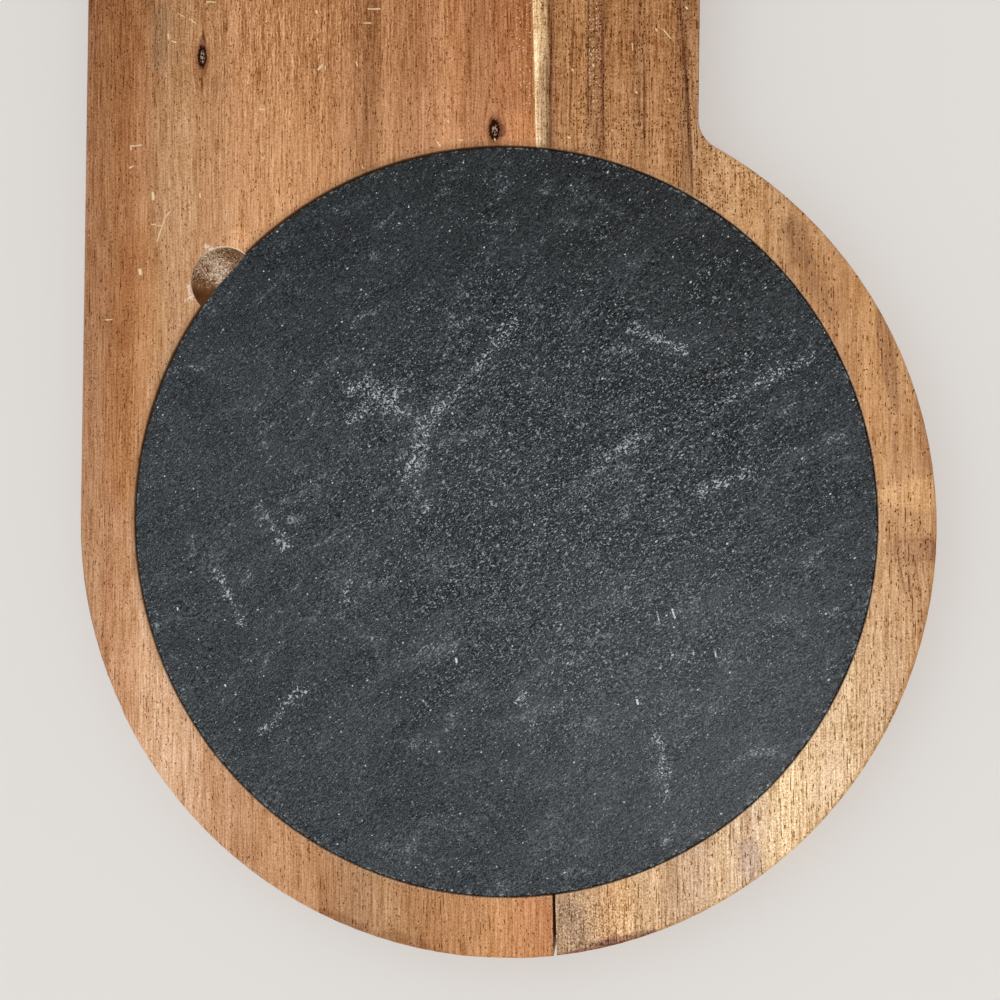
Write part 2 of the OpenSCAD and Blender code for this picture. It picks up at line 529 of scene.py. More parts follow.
# Smears: blur, spread and taper against their width, the width from which on they blur fully,
# and below which they break up along the fibres
SMEAR_BLUR = 5
SMEAR_SPREAD = 1.3
SMEAR_TAPER = 0.65
SHARP_SMEAR = 6
THIN_SMEAR = 0.85
SMEAR_GAPS = (0.34, 0.56, 0.25, 1.0)
# Knots: how far round them fibres bend, against their size, and how deep bend and knot reach
KNOT_BEND = (2.6, 3.2, 40)
KNOT_DEEP = 60
KNOT_STAIN = (0.20, 0.068, 0.028)
KNOT_STAIN_FADE = (2.0, 0.9, 0.0, 0.75)
KNOT_BROWN = (0.028, 0.007, 0.002)
KNOT_FADE = (1.12, 0.85)
KNOT_HEART = (0.50, 0.36, 0.27)
HEART_FADE = (0.70, 0.45)
HEART_CRUMBS = (0.46, 0.56)

# Recess: direction of its upper left, and heights above which its colours begin
UPPER_LEFT = (0.77, 0.64)
UPPER_LEFT_FADE = (0.1, 0.7)
ABOVE_FLOOR = (RECESS_FLOOR - 1.5, RECESS_FLOOR - 0.5)
MOUTH_RAG = 0.9
# Painted shade beside the mouth, at least and more at the upper left
RECESS_PAINTED_SHADE = (0.20, 0.105, 0.045)
RECESS_SHADE_FADE = (RECESS_R + 2.15, RECESS_R + 0.25, 0.0, 0.38)
RECESS_SHADE_SHARES = (0.15, 0.85)
# Painted light on the mouth's chamfer, and how much less of it lies at the upper left
PAINTED_LIGHT_MOUTH = (0.70, 0.52, 0.36)
MOUTH_LIGHT_FADE = (RECESS_R + 0.20, RECESS_R - 0.05)
MOUTH_LIGHT_TOP = (BOARD_T - 1.4, BOARD_T - 0.4)
MOUTH_LIGHT_CRUMBS = (0.46, 0.60, 0.0, 0.6)
LESS_LIT_UPPER_LEFT = 0.8
# Painted shade on the recess's wall
WALL_FADE = (RECESS_R + 0.35, RECESS_R - 0.35)
WALL_DIM = (BOARD_T - 0.8, BOARD_T - 0.05, 0.75, 0.22)

# Scoop: where its own colours begin, and its torn fluff and patches
ABOVE_SCOOP = (3.0, 4.5)
INSIDE_TOP = (BOARD_T - 0.05, BOARD_T - 0.35)
INSIDE_FADE = (SCOOP_R + 0.6, SCOOP_R + 0.3)
FLUFF_MM = (0.42, 0.62, 0.42)
TORN_PATCH_MM = (3, 3, 3)
TORN_PATCH = 0.3
FLUFFY = ((-98.5, 89.6), (6.5, 5.5))
FLUFFY_FADE = (1.5, 0.2, -0.08, 0.06)
TORN_TONES = [
    (0.34, (0.110, 0.046, 0.016)),
    (0.46, (0.330, 0.160, 0.075)),
    (0.56, (0.620, 0.400, 0.245)),
    (0.66, (0.960, 0.800, 0.610)),
]
# Where torn grain gives way to smooth wood, that wood's colour, the painted shade that darkens
# it downwards, and a painted highlight stripe on it
TORN_FADE = (82.5, 85.5)
TORN_WANDER = 5
SCOOP_BROWN = (0.34, 0.150, 0.060)
SCOOP_DARK = (0.095, 0.032, 0.009)
SCOOP_SHADE_FADE = (85.0, 79.5)
SCOOP_SHINE = (0.22, 0.080, 0.022)
SHINE_X = -102.0
SHINE_FADE = (3.0, 0.6)
SHINE_COVER = 0.6
# Pale lip and tufts
PALE_LIP = (0.92, 0.74, 0.56)
LIP_R = SCOOP_R + 0.15
LIP_RAG = 0.5
LIP_FADE = (0.26, 0.08)
LIP_SIDE = (-11.5, -5.5, 0.15, 1.0)
LIP_COVER = 0.85
PALE_TUFT = (0.92, 0.78, 0.62)
TUFT_RAG = 3.5
TUFT_FADE = (0.40, 0.52)
TUFT_COVER = 0.9

# Glue: its specks, tones, roughness and relief, and where it is pale beside the sapwood
GLUE_SPECK_MM = (0.3, 1.2, 0.3)
GLUE_TONES = [(0.3, (0.10, 0.045, 0.022)), (0.7, (0.20, 0.10, 0.05))]
GLUE_ROUGH = 0.6
GLUE_ROUGH_SWING = 0.3
GLUE_HIGH = 0.04
PALE_GLUE = (0.62, 0.40, 0.21)
PALE_GLUE_FADE = (110, 128)

# Smears and stains, and painted shade along the rims' edges: start and end in board millimetres,
# width, and what they do to the colour
LEFT_SMEARS = [
    ((-123.0, 112.0), (-130.0, 0.0), 20.0, (0.97, 0.89, 0.75)),
    ((-117.7, 186.0), (-119.2, 157.0), 7.0, (0.80, 0.84, 0.90)),
    ((-99.0, 157.0), (-95.0, 151.0), 6.0, (0.84, 0.82, 0.80)),
    ((-96.8, 134.7), (-96.7, 128.7), 2.0, (0.78, 0.70, 0.66)),
    ((-102.9, 172.0), (-102.8, 166.0), 2.2, (0.62, 0.48, 0.42)),
    ((-102.8, 159.0), (-102.6, 149.5), 0.8, (0.50, 0.40, 0.34)),
    ((-88.0, 104.0), (-88.5, 92.0), 9.0, (1.16, 1.18, 1.20)),
    ((10.5, 141.0), (11.5, 124.0), 12.0, (1.16, 1.19, 1.18)),
    ((4.4, 136.0), (5.0, 131.0), 2.8, (0.45, 0.36, 0.36)),
    # Dark strip along the lower rim: painted shade on the edge's shadow side, with soot
    ((-58.0, -135.0), (-36.0, -141.0), 6.0, (0.72, 0.64, 0.56)),
    ((-36.0, -141.0), (-15.0, -144.5), 5.0, (0.78, 0.72, 0.64)),
    ((-140.0, 72.0), (-128.0, 60.0), 9.0, (0.92, 0.88, 0.84)),
]
RIGHT_SMEARS = [
    ((30.0, -139.6), (52.0, -137.6), 2.6, (0.66, 0.58, 0.52)),
    ((61.5, 196.0), (66.6, 140.0), 1.0, (0.58, 0.46, 0.38)),
    ((65.6, 156.0), (68.6, 108.0), 1.3, (0.50, 0.38, 0.28)),
    ((61.0, 190.0), (65.2, 144.0), 0.7, (0.55, 0.46, 0.44)),
    ((38.0, 196.0), (39.0, 110.0), 1.0, (0.52, 0.42, 0.36)),
    ((33.2, 196.0), (33.8, 130.0), 0.8, (0.60, 0.50, 0.44)),
    ((28.6, 176.0), (27.4, 128.0), 0.9, (0.60, 0.50, 0.44)),
    ((48.4, 190.0), (49.2, 120.0), 0.7, (0.66, 0.56, 0.50)),
    ((52.2, 158.0), (52.6, 124.0), 0.9, (0.56, 0.46, 0.40)),
    ((18.8, 164.0), (19.2, 116.0), 3.4, (0.66, 0.62, 0.60)),
    ((20.9, 176.0), (21.3, 116.0), 0.9, (0.55, 0.46, 0.42)),
    ((99.2, 104.0), (105.1, 84.0), 9.0, (0.76, 0.74, 0.74)),
    ((105.1, 90.0), (113.4, 66.0), 6.0, (0.82, 0.80, 0.80)),
    ((127.0, 76.0), (134.2, 36.0), 4.5, (0.74, 0.71, 0.72)),
    ((139.3, 50.0), (145.5, 17.0), 5.0, (0.84, 0.79, 0.76)),
    ((132.7, 36.0), (134.8, 6.0), 1.1, (0.72, 0.64, 0.58)),
    ((127.0, 11.5), (152.0, 11.5), 10.0, (1.26, 1.34, 1.38)),
    ((129.0, -5.5), (152.0, -6.5), 11.0, (0.82, 0.76, 0.72)),
    ((142.9, -1.0), (146.9, -10.0), 4.0, (0.80, 0.72, 0.70)),
    ((136.4, -6.0), (139.6, -24.0), 0.8, (0.50, 0.40, 0.32)),
    ((139.4, -7.0), (142.4, -24.0), 0.7, (0.55, 0.45, 0.36)),
    ((134.4, -6.0), (137.6, -23.0), 0.7, (0.55, 0.45, 0.36)),
    ((141.6, -7.0), (143.8, -20.0), 0.6, (0.60, 0.50, 0.42)),
    ((88.5, -100.0), (90.0, -115.0), 7.0, (0.74, 0.71, 0.76)),
    ((28.5, -125.0), (37.5, -141.0), 9.0, (0.80, 0.80, 0.86)),
    # Dark strip along the lower rim: painted shade on the edge's shadow side
    ((25.0, -145.0), (64.0, -132.5), 4.2, (0.46, 0.34, 0.33)),
    ((44.5, -118.0), (45.5, -137.0), 5.5, (0.86, 0.80, 0.70)),
]
# Where the left plank's grain curls: middle and half size, across and along the grain
CURLY = ((-88, 180), (34, 38))
CURLY_FADE = (1.5, 0.4)
# How the places below fade
PATCH_FADE = (1.3, 0.6)
# Places with many pores on the right plank: middle and half size, across and along the grain
POROUS = [((17, 160), (3.5, 34)), ((16.5, 134), (7, 14)), ((34, 165), (2.2, 22)),
          ((30, 132), (9.5, 9)), ((46, 152), (4.5, 34)), ((59, 116), (11, 14)),
          ((-0.6, 136), (1.4, 24))]
# Where the right plank is roughest, given likewise
ROUGH = [((16, -136), (15, 14))]
# Places where pale dust sits in the pores, given likewise
LEFT_DUSTY = [((-6, 162), (4.5, 26))]
RIGHT_DUSTY = [((17, 158), (2.6, 27)), ((13, -134), (14, 13))]

# Nicks and scratches in the wood: start and end in board millimetres, and width
LEFT_NICKS = [
    ((-129.2, 133.0), (-125.3, 133.2), 0.55),
    ((-129.1, 133.0), (-129.0, 131.6), 0.50),
    ((-129.5, 125.2), (-128.2, 125.8), 0.55),
    ((-120.5, 115.9), (-120.4, 113.9), 1.15),
    ((-102.9, 115.1), (-102.7, 113.8), 0.70),
    ((-118.7, 98.6), (-116.2, 105.8), 0.45),
    ((-116.2, 106.5), (-113.6, 109.8), 0.35),
    ((-121.4, 105.0), (-116.9, 104.2), 0.25),
    ((-125.0, 88.6), (-124.8, 87.4), 1.50),
    ((-138.0, 71.0), (-135.3, 71.1), 0.40),
    ((-111.6, 179.3), (-109.5, 178.1), 0.35),
    ((-107.5, 177.2), (-105.6, 175.8), 0.35),
    ((-101.2, 183.0), (-98.3, 182.8), 0.50),
    ((-115.7, 172.4), (-115.5, 171.0), 0.60),
    ((-114.1, 169.8), (-112.6, 169.2), 0.55),
    ((-86.0, 154.0), (-85.6, 153.3), 0.40),
    ((-81.1, 144.3), (-79.3, 144.0), 0.55),
    ((-80.1, 127.4), (-79.8, 127.0), 0.60),
    ((-60.1, 157.2), (-58.8, 158.6), 0.90),
    ((-57.7, 158.3), (-57.7, 156.9), 0.35),
    ((-46.6, 159.1), (-46.1, 157.7), 0.60),
    ((-61.2, 177.6), (-60.9, 176.9), 0.70),
    ((-42.6, 177.3), (-38.4, 177.1), 0.50),
    ((-44.0, 172.5), (-41.5, 172.4), 0.45),
    ((-14.0, 137.4), (-13.6, 136.7), 0.60),
    ((-17.7, 130.4), (-16.6, 129.0), 0.60),
    ((-10.4, 130.8), (-9.0, 130.7), 0.45),
    ((-44.0, 123.0), (-43.6, 122.3), 0.50),
    ((2.2, 130.9), (2.4, 130.2), 0.55),
    ((-115.8, -65.8), (-115.6, -66.3), 1.30),
]
RIGHT_NICKS = [
    ((65.6, 172.0), (66.0, 171.4), 0.70),
    ((58.4, 164.8), (60.9, 161.8), 0.40),
    ((55.9, 165.3), (56.2, 164.6), 0.55),
    ((48.1, 160.7), (48.4, 158.6), 0.40),
    ((49.6, 144.6), (49.9, 144.2), 0.60),
    ((60.5, 141.5), (60.8, 141.1), 0.50),
    ((28.2, 153.2), (28.5, 152.6), 0.60),
    ((34.4, 158.0), (34.6, 157.6), 0.50),
    ((35.2, 154.4), (35.4, 153.8), 0.60),
    ((27.1, 130.4), (27.8, 130.1), 0.60),
    ((41.8, 132.2), (42.0, 131.9), 0.50),
]

# Splinters that stand at the scoop's edge, given likewise
SPLINTERS = [
    ((-100.4, 96.6), (-96.6, 94.6), 2.6),
    ((-97.4, 94.9), (-94.9, 94.5), 1.3),
    ((-106.6, 82.4), (-105.6, 78.4), 2.2),
    ((-107.8, 77.6), (-104.8, 79.0), 1.3),
]

# Slate: size of each texture along, across and through the cleavage, in millimetres
BEND_MM = (45, 45, 45)
SWELL_MM = (26, 11, 11)
WRINKLE_MM = (1.9, 0.8, 0.8)
GRIT_MM = (0.56, 0.40, 0.40)
DRIFT_MM = (13, 6, 6)
WORM_MM = (1.5, 1.5, 1.5)
GAP_MM = (1.3, 1.3, 1.3)
THIN_MM = (3.6, 1.6, 1.6)
# How far the cleavage bends in the broad and in the fine textures
LAY_BEND = 30
CALM_BEND = 7
# Busy and sunny parts of the face: middle and half size, and how they fade. The sunny part lies
# in the lamp's glare at the lower right, and a painted glare is laid over it.
BUSY = ((27, 12), (78, 72))
BUSY_WANDER = 2.0
BUSY_FADE = (1.4, 0.4)
SUNNY = ((66, -58), (52, 46))
SUNNY_FADE = (1.7, 0.3)
PAINTED_GLARE = 0.06
# How strong the grit is, and how much stronger in those parts
GRIT_GAIN = 0.42
BUSY_GAIN = 0.18
SUNNY_GAIN = 0.14
# Tone outside and inside the busy part, and what the other textures add to it
TONE_MIDDLES = (0.507, 0.490)
WRINKLE_FADE = (0.35, 0.65)
WRINKLE_TONE = 0.05
BROAD_TONE = 0.08
DRIFT_TONE = 0.075
# Colours of the slate's grit, from its dark ground to its pale points
SLATE_TONES = [
    (0.26, (0.002, 0.003, 0.004)),
    (0.42, (0.007, 0.009, 0.011)),
    (0.51, (0.028, 0.033, 0.037)),
    (0.59, (0.075, 0.086, 0.093)),
    (0.68, (0.170, 0.190, 0.200)),
    (0.78, (0.340, 0.370, 0.380)),
]
SCUFF_AND_GLARE_GREY = (0.30, 0.34, 0.36)
BRIGHT_GREY = (0.52, 0.56, 0.58)
CRUMB_GREY = (0.62, 0.65, 0.66)
CHIP_GREY = (0.75, 0.77, 0.77)
# How light the slate is along the board and across it
SLATE_LIGHT_Y = (130, 0, 0.54, 1.04)
SLATE_LIGHT_X = (-110, 110, 1.20, 0.86)
# Scuffs: their ragged sides, spread against the width given below and strength, and where
# stray ones lie
SCUFF_DRIFT = 12
SCUFF_WRINKLE = 8
SCUFF_SPREAD = 1.3
SCUFF_STRENGTH = 0.9
STRAY_SCUFFS = (0.57, 0.76, 0.0, 0.8)
# Within them: curled bright lines with gaps, and flakes
WORM_FADE = (0.07, 0.03)
WORM_GAPS = (0.42, 0.56)
FLAKE_GRIT = 0.8
FLAKE_FADE = (0.52, 0.66)
FLAKE_COVER = 0.15
# Short hairs, specks and crumbs: their cells, radius in cells, shares and cover
HAIR_CURL = 1.2
HAIR_CELL = (1.5, 0.55)
HAIR_RADIUS = 0.235
HAIR_SHARES = (0.04, 0.17)
HAIR_COVER = 0.8
SPECK_CELL = (1.2, 1.1)
SPECK_RADIUS = 0.16
SPECK_SHARES = (0.10, 0.10)
SPECK_COVER = 0.9
CRUMB_CELL = (6, 5)
CRUMB_RADIUS = 0.06
CRUMB_SHARE = 0.16
CRUMB_COVER = 0.9
# Long thin lines, with gaps, at least and more in the busy part
THIN_FADE = (0.023, 0.009)
THIN_GAPS = (0.52, 0.44)
THIN_SHARES = (0.12, 0.38)
# Chips: raggedness, spread against the width given below, and cover
CHIP_RAG = 0.7
CHIP_SPREAD = 1.2
CHIP_COVER = 0.95
# Bruises on the rim
BRUISE_RAG = 3
BRUISE_FADE = (SLATE_R - 1.1, SLATE_R - 0.2)
BRUISE_SPOTS = (0.52, 0.62)
BRUISE_COVER = 0.6
# Relief, roughness and sheen
GRIT_HIGH = 0.06
WRINKLE_HIGH = 0.22
BROAD_HIGH = 0.3
SLATE_ROUGH = 0.45
SLATE_ROUGH_SWING = 0.3
SLATE_SHEEN = (0.36, 0.60, 0.05, 0.28)

# Scuffed lines on the slate: start and end in board millimetres, and width
SCUFFS = [
    ((9, 69), (-3, 54), 2.6),
    ((-3, 53), (-14, 40), 2.2),
    ((-14, 40), (-21, 33), 4.5),
    ((-22, 33), (-24, 18), 6.0),
    ((-46, 46), (-38, 47), 4.0),
    ((-41, 47), (-29, 38), 6.5),
    ((-31, 47), (-33, 38), 3.5),
    ((-46, 35), (-37, 44), 3.0),
    ((-27, 15), (-19, 6), 3.0),
    ((52, 30), (38, 18), 4.0),
    ((87, 19), (72, 11), 2.0),
    ((107, 57), (81, 42), 1.6),
    ((66, 59), (50, 66), 3.0),
    ((-95, -17), (-86, -35), 2.2),
    ((-79, 4), (-70, -9), 2.4),
    ((-64, -59), (-77, -73), 1.6),
    ((-46, -16), (-48, -27), 2.0),
    ((14, -58), (18, -66), 3.0),
    ((60, -70), (62, -88), 3.5),
]

# Pale chips and crumbs on the slate, given likewise
CHIPS = [
    ((58.6, -28.1), (59.6, -32.1), 0.5),
    ((63.5, -27.0), (64.5, -29.9), 0.6),
    ((70.5, -40.3), (70.8, -41.9), 0.5),
    ((77.6, -40.7), (77.9, -42.2), 0.5),
    ((-8.8, -46.0), (-8.6, -46.9), 1.0),
    ((-11.3, 37.8), (-11.1, 37.5), 0.6),
    ((-109.4, -31.3), (-109.2, -32.0), 0.7),
    ((-91.2, -57.9), (-91.0, -58.3), 0.7),
    ((52.4, -57.5), (52.7, -58.8), 0.8),
]


def grain_mm(finish):
    """Millimetres across, along and through the grain, from the foot of the seam's crossing."""
    return finish.object_mm((SEAM_X, 0, 0), GRAIN_TURN)


def patchy(wood, straight, spots):
    """One in any of the given ovals, fading to nought round them."""
    return wood.most(*[wood.oval(straight, BOARD_T, spot, PATCH_FADE) for spot in spots])


def left_feel(wood, straight, along, crowd):
    """How strong the left plank's figure is.

    Gives its light, its curls and ripples, its threads and flecks, the shares of cells that
    hold dots, dashes and long pores, and how dark the pores are.
    """
    curls = wood.oval(straight, BOARD_T, CURLY, (*CURLY_FADE, *LEFT_CURLS))
    dots = wood.total(LEFT_DOTS[0], (crowd, LEFT_DOTS[1]))
    dashes = wood.total(LEFT_DASHES[0], (crowd, LEFT_DASHES[1]))
    return LEFT_LIGHT, curls, 0.0, LEFT_FIBRES, (dots, dashes, LEFT_LINES), LEFT_INK


def right_feel(wood, straight, along, crowd):
    """The same for the right plank: rippled and porous at the top, streaked at the lower right."""
    patch = patchy(wood, straight, POROUS)
    rough = patchy(wood, straight, ROUGH)
    low = wood.fade(along, *RIGHT_LOW)
    calm = wood.fade(along, *RIGHT_CALM)
    dots = wood.total(RIGHT_DOTS[0], (crowd, RIGHT_DOTS[1]), (patch, PATCH_DOTS))
    dots = wood.times(dots, wood.fade(along, *FEWER_DOTS))
    dashes = wood.total(RIGHT_DASHES[0], (crowd, RIGHT_DASHES[1]), (patch, PATCH_DASHES),
                        (low, LOW_DASHES))
    lines = wood.total(RIGHT_LINES, (low, LOW_LINES))
    ripples = wood.total(RIGHT_RIPPLES, (calm, CALM_RIPPLES))
    lift = wood.total(RIGHT_LIGHT, (patch, PATCH_LIGHT), (calm, CALM_LIGHT))
    threads = wood.total(RIGHT_FIBRES[0], (calm, CALM_FIBRES), (low, LOW_THREADS))
    flecks = wood.total(RIGHT_FIBRES[1], (calm, CALM_FIBRES), (low, LOW_FLECKS),
                        (rough, ROUGH_FLECKS))
    ink = wood.fade(along, *RIGHT_LOW, *RIGHT_INK)
    return lift, RIGHT_CURLS, ripples, (threads, flecks), (dots, dashes, lines), ink


def bent_round(wood, straight, across, knots):
    """Place across the grain, with the fibres bent round each knot."""
    for (at, half) in knots:
        reach = (half[0] * KNOT_BEND[0], half[1] * KNOT_BEND[1], KNOT_BEND[2])
        near = wood.spot(straight, (*at, BOARD_T), reach)
        push = wood.maths("POWER", math.e, wood.times(wood.times(near, near), -1))
        across = wood.minus(across, wood.times(wood.minus(across, at[0]), push))
    return across


def strands(wood, waved, wavy, breaks, seed):
    """Short curled strands that lie side by side."""
    stray = wood.cloud(wavy, STRAY_MM, (0, seed, 0))
    comb = wood.plus(wood.times(waved, 1 / STRAND_MM), wood.swing(stray, STRAND_STRAY))
    comb = wood.fade(wood.maths("SINE", wood.times(comb, 2 * math.pi)), *STRAND_FADE)
    return wood.times(comb, wood.fade(breaks, *BREAKS_FADE))


def pored(wood, colour, places, pores, ink, seed, sapwood):
    """Adds the dots, dashes and long pores, and gives the colour and where the pores are."""
    across, along, flat = places
    held = [wood.marks(wood.space(flat, (seed, 0, 0)), sizes, share, radius)
            for (sizes, radius), share in zip(PORES, pores)]
    pore = wood.most(*held)
    if sapwood:
        clear = wood.fade(wood.total(across, (along, SAPWOOD_LEAN)), *SAPWOOD_FADE)
        pore = wood.times(pore, clear)
    return wood.shaded(wood.times(pore, ink), colour, PORE_SHADE), pore


def smeared(wood, board, colour, smears, mottle, breaks):
    """Adds the smears and stains, and the painted shade along the rims, the thin ones broken up
    along the fibres.
    """
    blur = wood.swing(mottle, SMEAR_BLUR)
    gaps = wood.fade(breaks, *SMEAR_GAPS)
    for (a, b, width, shade) in smears:
        edge = wood.times(blur, min(1, width / SHARP_SMEAR))
        share = wood.stroke(board, (*a, BOARD_T), (*b, BOARD_T), width * SMEAR_SPREAD, edge,
                            width * SMEAR_TAPER)
        if width < THIN_SMEAR:
            share = wood.times(share, gaps)
        colour = wood.shaded(share, colour, shade)
    return colour


def knotted(wood, straight, colour, knots, crumble):
    """Adds the knots, each with a stain round it and a pale heart, and gives where they are."""
    rot = 0.0
    for (at, half) in knots:
        rim = wood.plus(wood.spot(straight, (*at, BOARD_T), (*half, KNOT_DEEP)),
                        wood.swing(crumble, 1.0))
        colour = wood.mix(wood.fade(rim, *KNOT_STAIN_FADE), colour, KNOT_STAIN)
        dark = wood.fade(rim, *KNOT_FADE)
        colour = wood.mix(dark, colour, KNOT_BROWN)
        heart = wood.times(wood.fade(rim, *HEART_FADE), wood.fade(crumble, *HEART_CRUMBS))
        colour = wood.mix(heart, colour, KNOT_HEART)
        rot = wood.plus(rot, dark)
    return colour, rot


def plank_finish(name, bands, low_bands, change, marks, feel, wander, seed):
    """Oiled open-pored wood, coloured in bands across its grain.

    marks holds the plank's knots, nicks, smears and dusty places, feel gives its strengths of
    figure, and wander is how far its bands stray sideways.
    """
    knots, nicks, smears, dusty = marks
    wood = Finish(name)
    straight = grain_mm(wood)
    across, along, deep = wood.split(straight)
    sway = wood.cloud(straight, SWAY_MM, (seed, seed, 0))
    across = bent_round(wood, straight, wood.plus(across, wood.swing(sway, wander)), knots)
    grain = wood.join(across, along, deep)
    crowd = wood.cloud(grain, CROWD_MM, (0, 0, seed), detail=3, rough=0.6)
    crowd = wood.fade(crowd, *CROWD_FADE)
    lift, curls, ripples, (threads, flecks), pores, ink = feel(wood, straight, along, crowd)
    curl = wood.cloud(straight, CURL_MM, (0, seed, 5))
    waved = wood.plus(across, wood.swing(curl, wood.total(CURL_SWING[0], (curls, CURL_SWING[1]))))
    wavy = wood.join(waved, along, deep)

    colour = wood.mix(wood.fade(along, *change), wood.ramp(across, bands),
                      wood.ramp(across, low_bands))
    broad = wood.cloud(grain, BROAD_MM, (seed, 0, 0), detail=2, rough=0.6)
    streak = wood.cloud(grain, STREAK_MM, (5, seed, 0), detail=2, rough=0.6)
    mottle = wood.cloud(straight, MOTTLE_MM, (seed, 9, 0), detail=3, rough=0.6)
    breaks = wood.cloud(wavy, BREAKS_MM, (seed, 3, 0), rough=0.6)
    strand = strands(wood, waved, wavy, breaks, seed)
    thread = wood.cloud(wavy, THREAD_MM, (seed, 6, 0), detail=2, rough=0.6)
    grit = wood.cloud(straight, WOOD_GRIT_MM, (seed, 2, 0))
    ripple = wood.cloud(straight, RIPPLE_MM, (seed, 4, 0))
    light = wood.total(wood.fade(along, *UPPER_DIM),
                       (wood.swing(broad, 1.0), BROAD_LIGHT),
                       (wood.swing(streak, 1.0), STREAK_LIGHT),
                       (wood.swing(mottle, 1.0), MOTTLE_LIGHT),
                       (wood.swing(strand, 1.0, STRAND_MIDDLE), curls),
                       (wood.swing(ripple, 1.0), ripples),
                       (wood.swing(thread, THREAD_LIGHT), threads),
                       (wood.swing(grit, GRIT_LIGHT), flecks))
    light = wood.times(wood.most(light, DARKEST_LIGHT), lift)
    colour = wood.vector("MULTIPLY", colour,
                         wood.join(light, wood.maths("POWER", light, GREEN_POWER),
                                   wood.maths("POWER", light, BLUE_POWER)))

    flat = wood.join(wood.plus(across, deep), wood.total(along, (deep, PORE_LEAN)), 0.0)
    colour, pore = pored(wood, colour, (across, along, flat), pores, ink, seed, not knots)
    dust = wood.plus(patchy(wood, straight, dusty), wood.swing(mottle, DUST_MOTTLE))
    dust = wood.marks(wood.space(flat, (seed, 5, 0)), DUST_CELL, wood.fade(dust, *DUST_SHARE),
                      DUST_RADIUS)
    colour = wood.mix(wood.times(dust, DUST_COVER), colour, PORE_DUST)

    board = wood.object_mm()
    _, _, z = wood.split(board)
    crumble = wood.cloud(straight, CRUMBLE_MM, detail=2)
    colour = smeared(wood, board, colour, smears, mottle, breaks)
    colour, rot = knotted(wood, straight, colour, knots, crumble)
    # Painted shade on the rounded edge and the sides, together with their darker end grain
    colour = wood.shaded(wood.fade(z, *EDGE_FADE), colour, EDGE_SHADE)
    # Painted shade inside the opened joint's walls
    joint = wood.times(wood.stroke(board, *OPEN_JOINT, JOINT_W), wood.fade(z, *JOINT_FADE))
    colour = wood.shaded(joint, colour, JOINT_PAINTED_SHADE)

    colour = recess_edge(wood, board, colour, crumble)
    if knots:
        colour = torn_scoop(wood, board, colour)
    scar = wood.strokes(board, BOARD_T, nicks, wood.swing(crumble, NICK_RAG), NICK_SPREAD)
    colour = wood.mix(wood.times(scar, NICK_COVER), colour, PALE_NICK)

    roughness = wood.total(WOOD_ROUGH, (wood.swing(mottle, 1.0), MOTTLE_ROUGH),
                           (wood.most(pore, scar, rot), BARE_ROUGH))
    height = wood.total(0.0, (thread, THREAD_HIGH), (pore, -PORE_DEEP))
    sheen = wood.times(wood.fade(light, *SHEEN), wood.minus(1.0, wood.most(pore, rot)))
    wood.feed(wood.shader.inputs["Specular IOR Level"], sheen)
    return wood.surface(colour, roughness, height)


def recess_edge(wood, board, colour, crumble):
    """Adds painted light on the recess's chipped mouth, and painted shade beside it, most at the
    upper left, and on its wall.
    """
    x, y, z = wood.split(board)
    reach = wood.spot(board, (*SLATE_AT, BOARD_T), ROUND)
    side = wood.minus(wood.times(wood.minus(y, SLATE_AT[1]), UPPER_LEFT[1] / SLATE_R),
                      wood.times(wood.minus(x, SLATE_AT[0]), UPPER_LEFT[0] / SLATE_R))
    upper_left = wood.fade(side, *UPPER_LEFT_FADE)
    above = wood.fade(z, *ABOVE_FLOOR)
    near = wood.plus(reach, wood.swing(crumble, MOUTH_RAG))
    # Painted shade beside the recess's mouth, deepest at the upper left
    painted_shade = wood.times(wood.times(wood.fade(near, *RECESS_SHADE_FADE), above),
                       wood.total(RECESS_SHADE_SHARES[0], (upper_left, RECESS_SHADE_SHARES[1])))
    colour = wood.mix(painted_shade, colour, RECESS_PAINTED_SHADE)
    # Painted light on the mouth's chamfer, broken up, and less at the upper left
    worn = wood.times(wood.fade(near, *MOUTH_LIGHT_FADE), wood.fade(z, *MOUTH_LIGHT_TOP))
    worn = wood.times(worn, wood.fade(crumble, *MOUTH_LIGHT_CRUMBS))
    worn = wood.times(worn, wood.total(1.0, (upper_left, -LESS_LIT_UPPER_LEFT)))
    colour = wood.mix(worn, colour, PAINTED_LIGHT_MOUTH)
    # Painted shade on the recess's wall
    dim = wood.times(wood.fade(reach, *WALL_FADE), wood.fade(z, *WALL_DIM))
    return wood.shaded(wood.times(dim, above), colour, EDGE_SHADE)


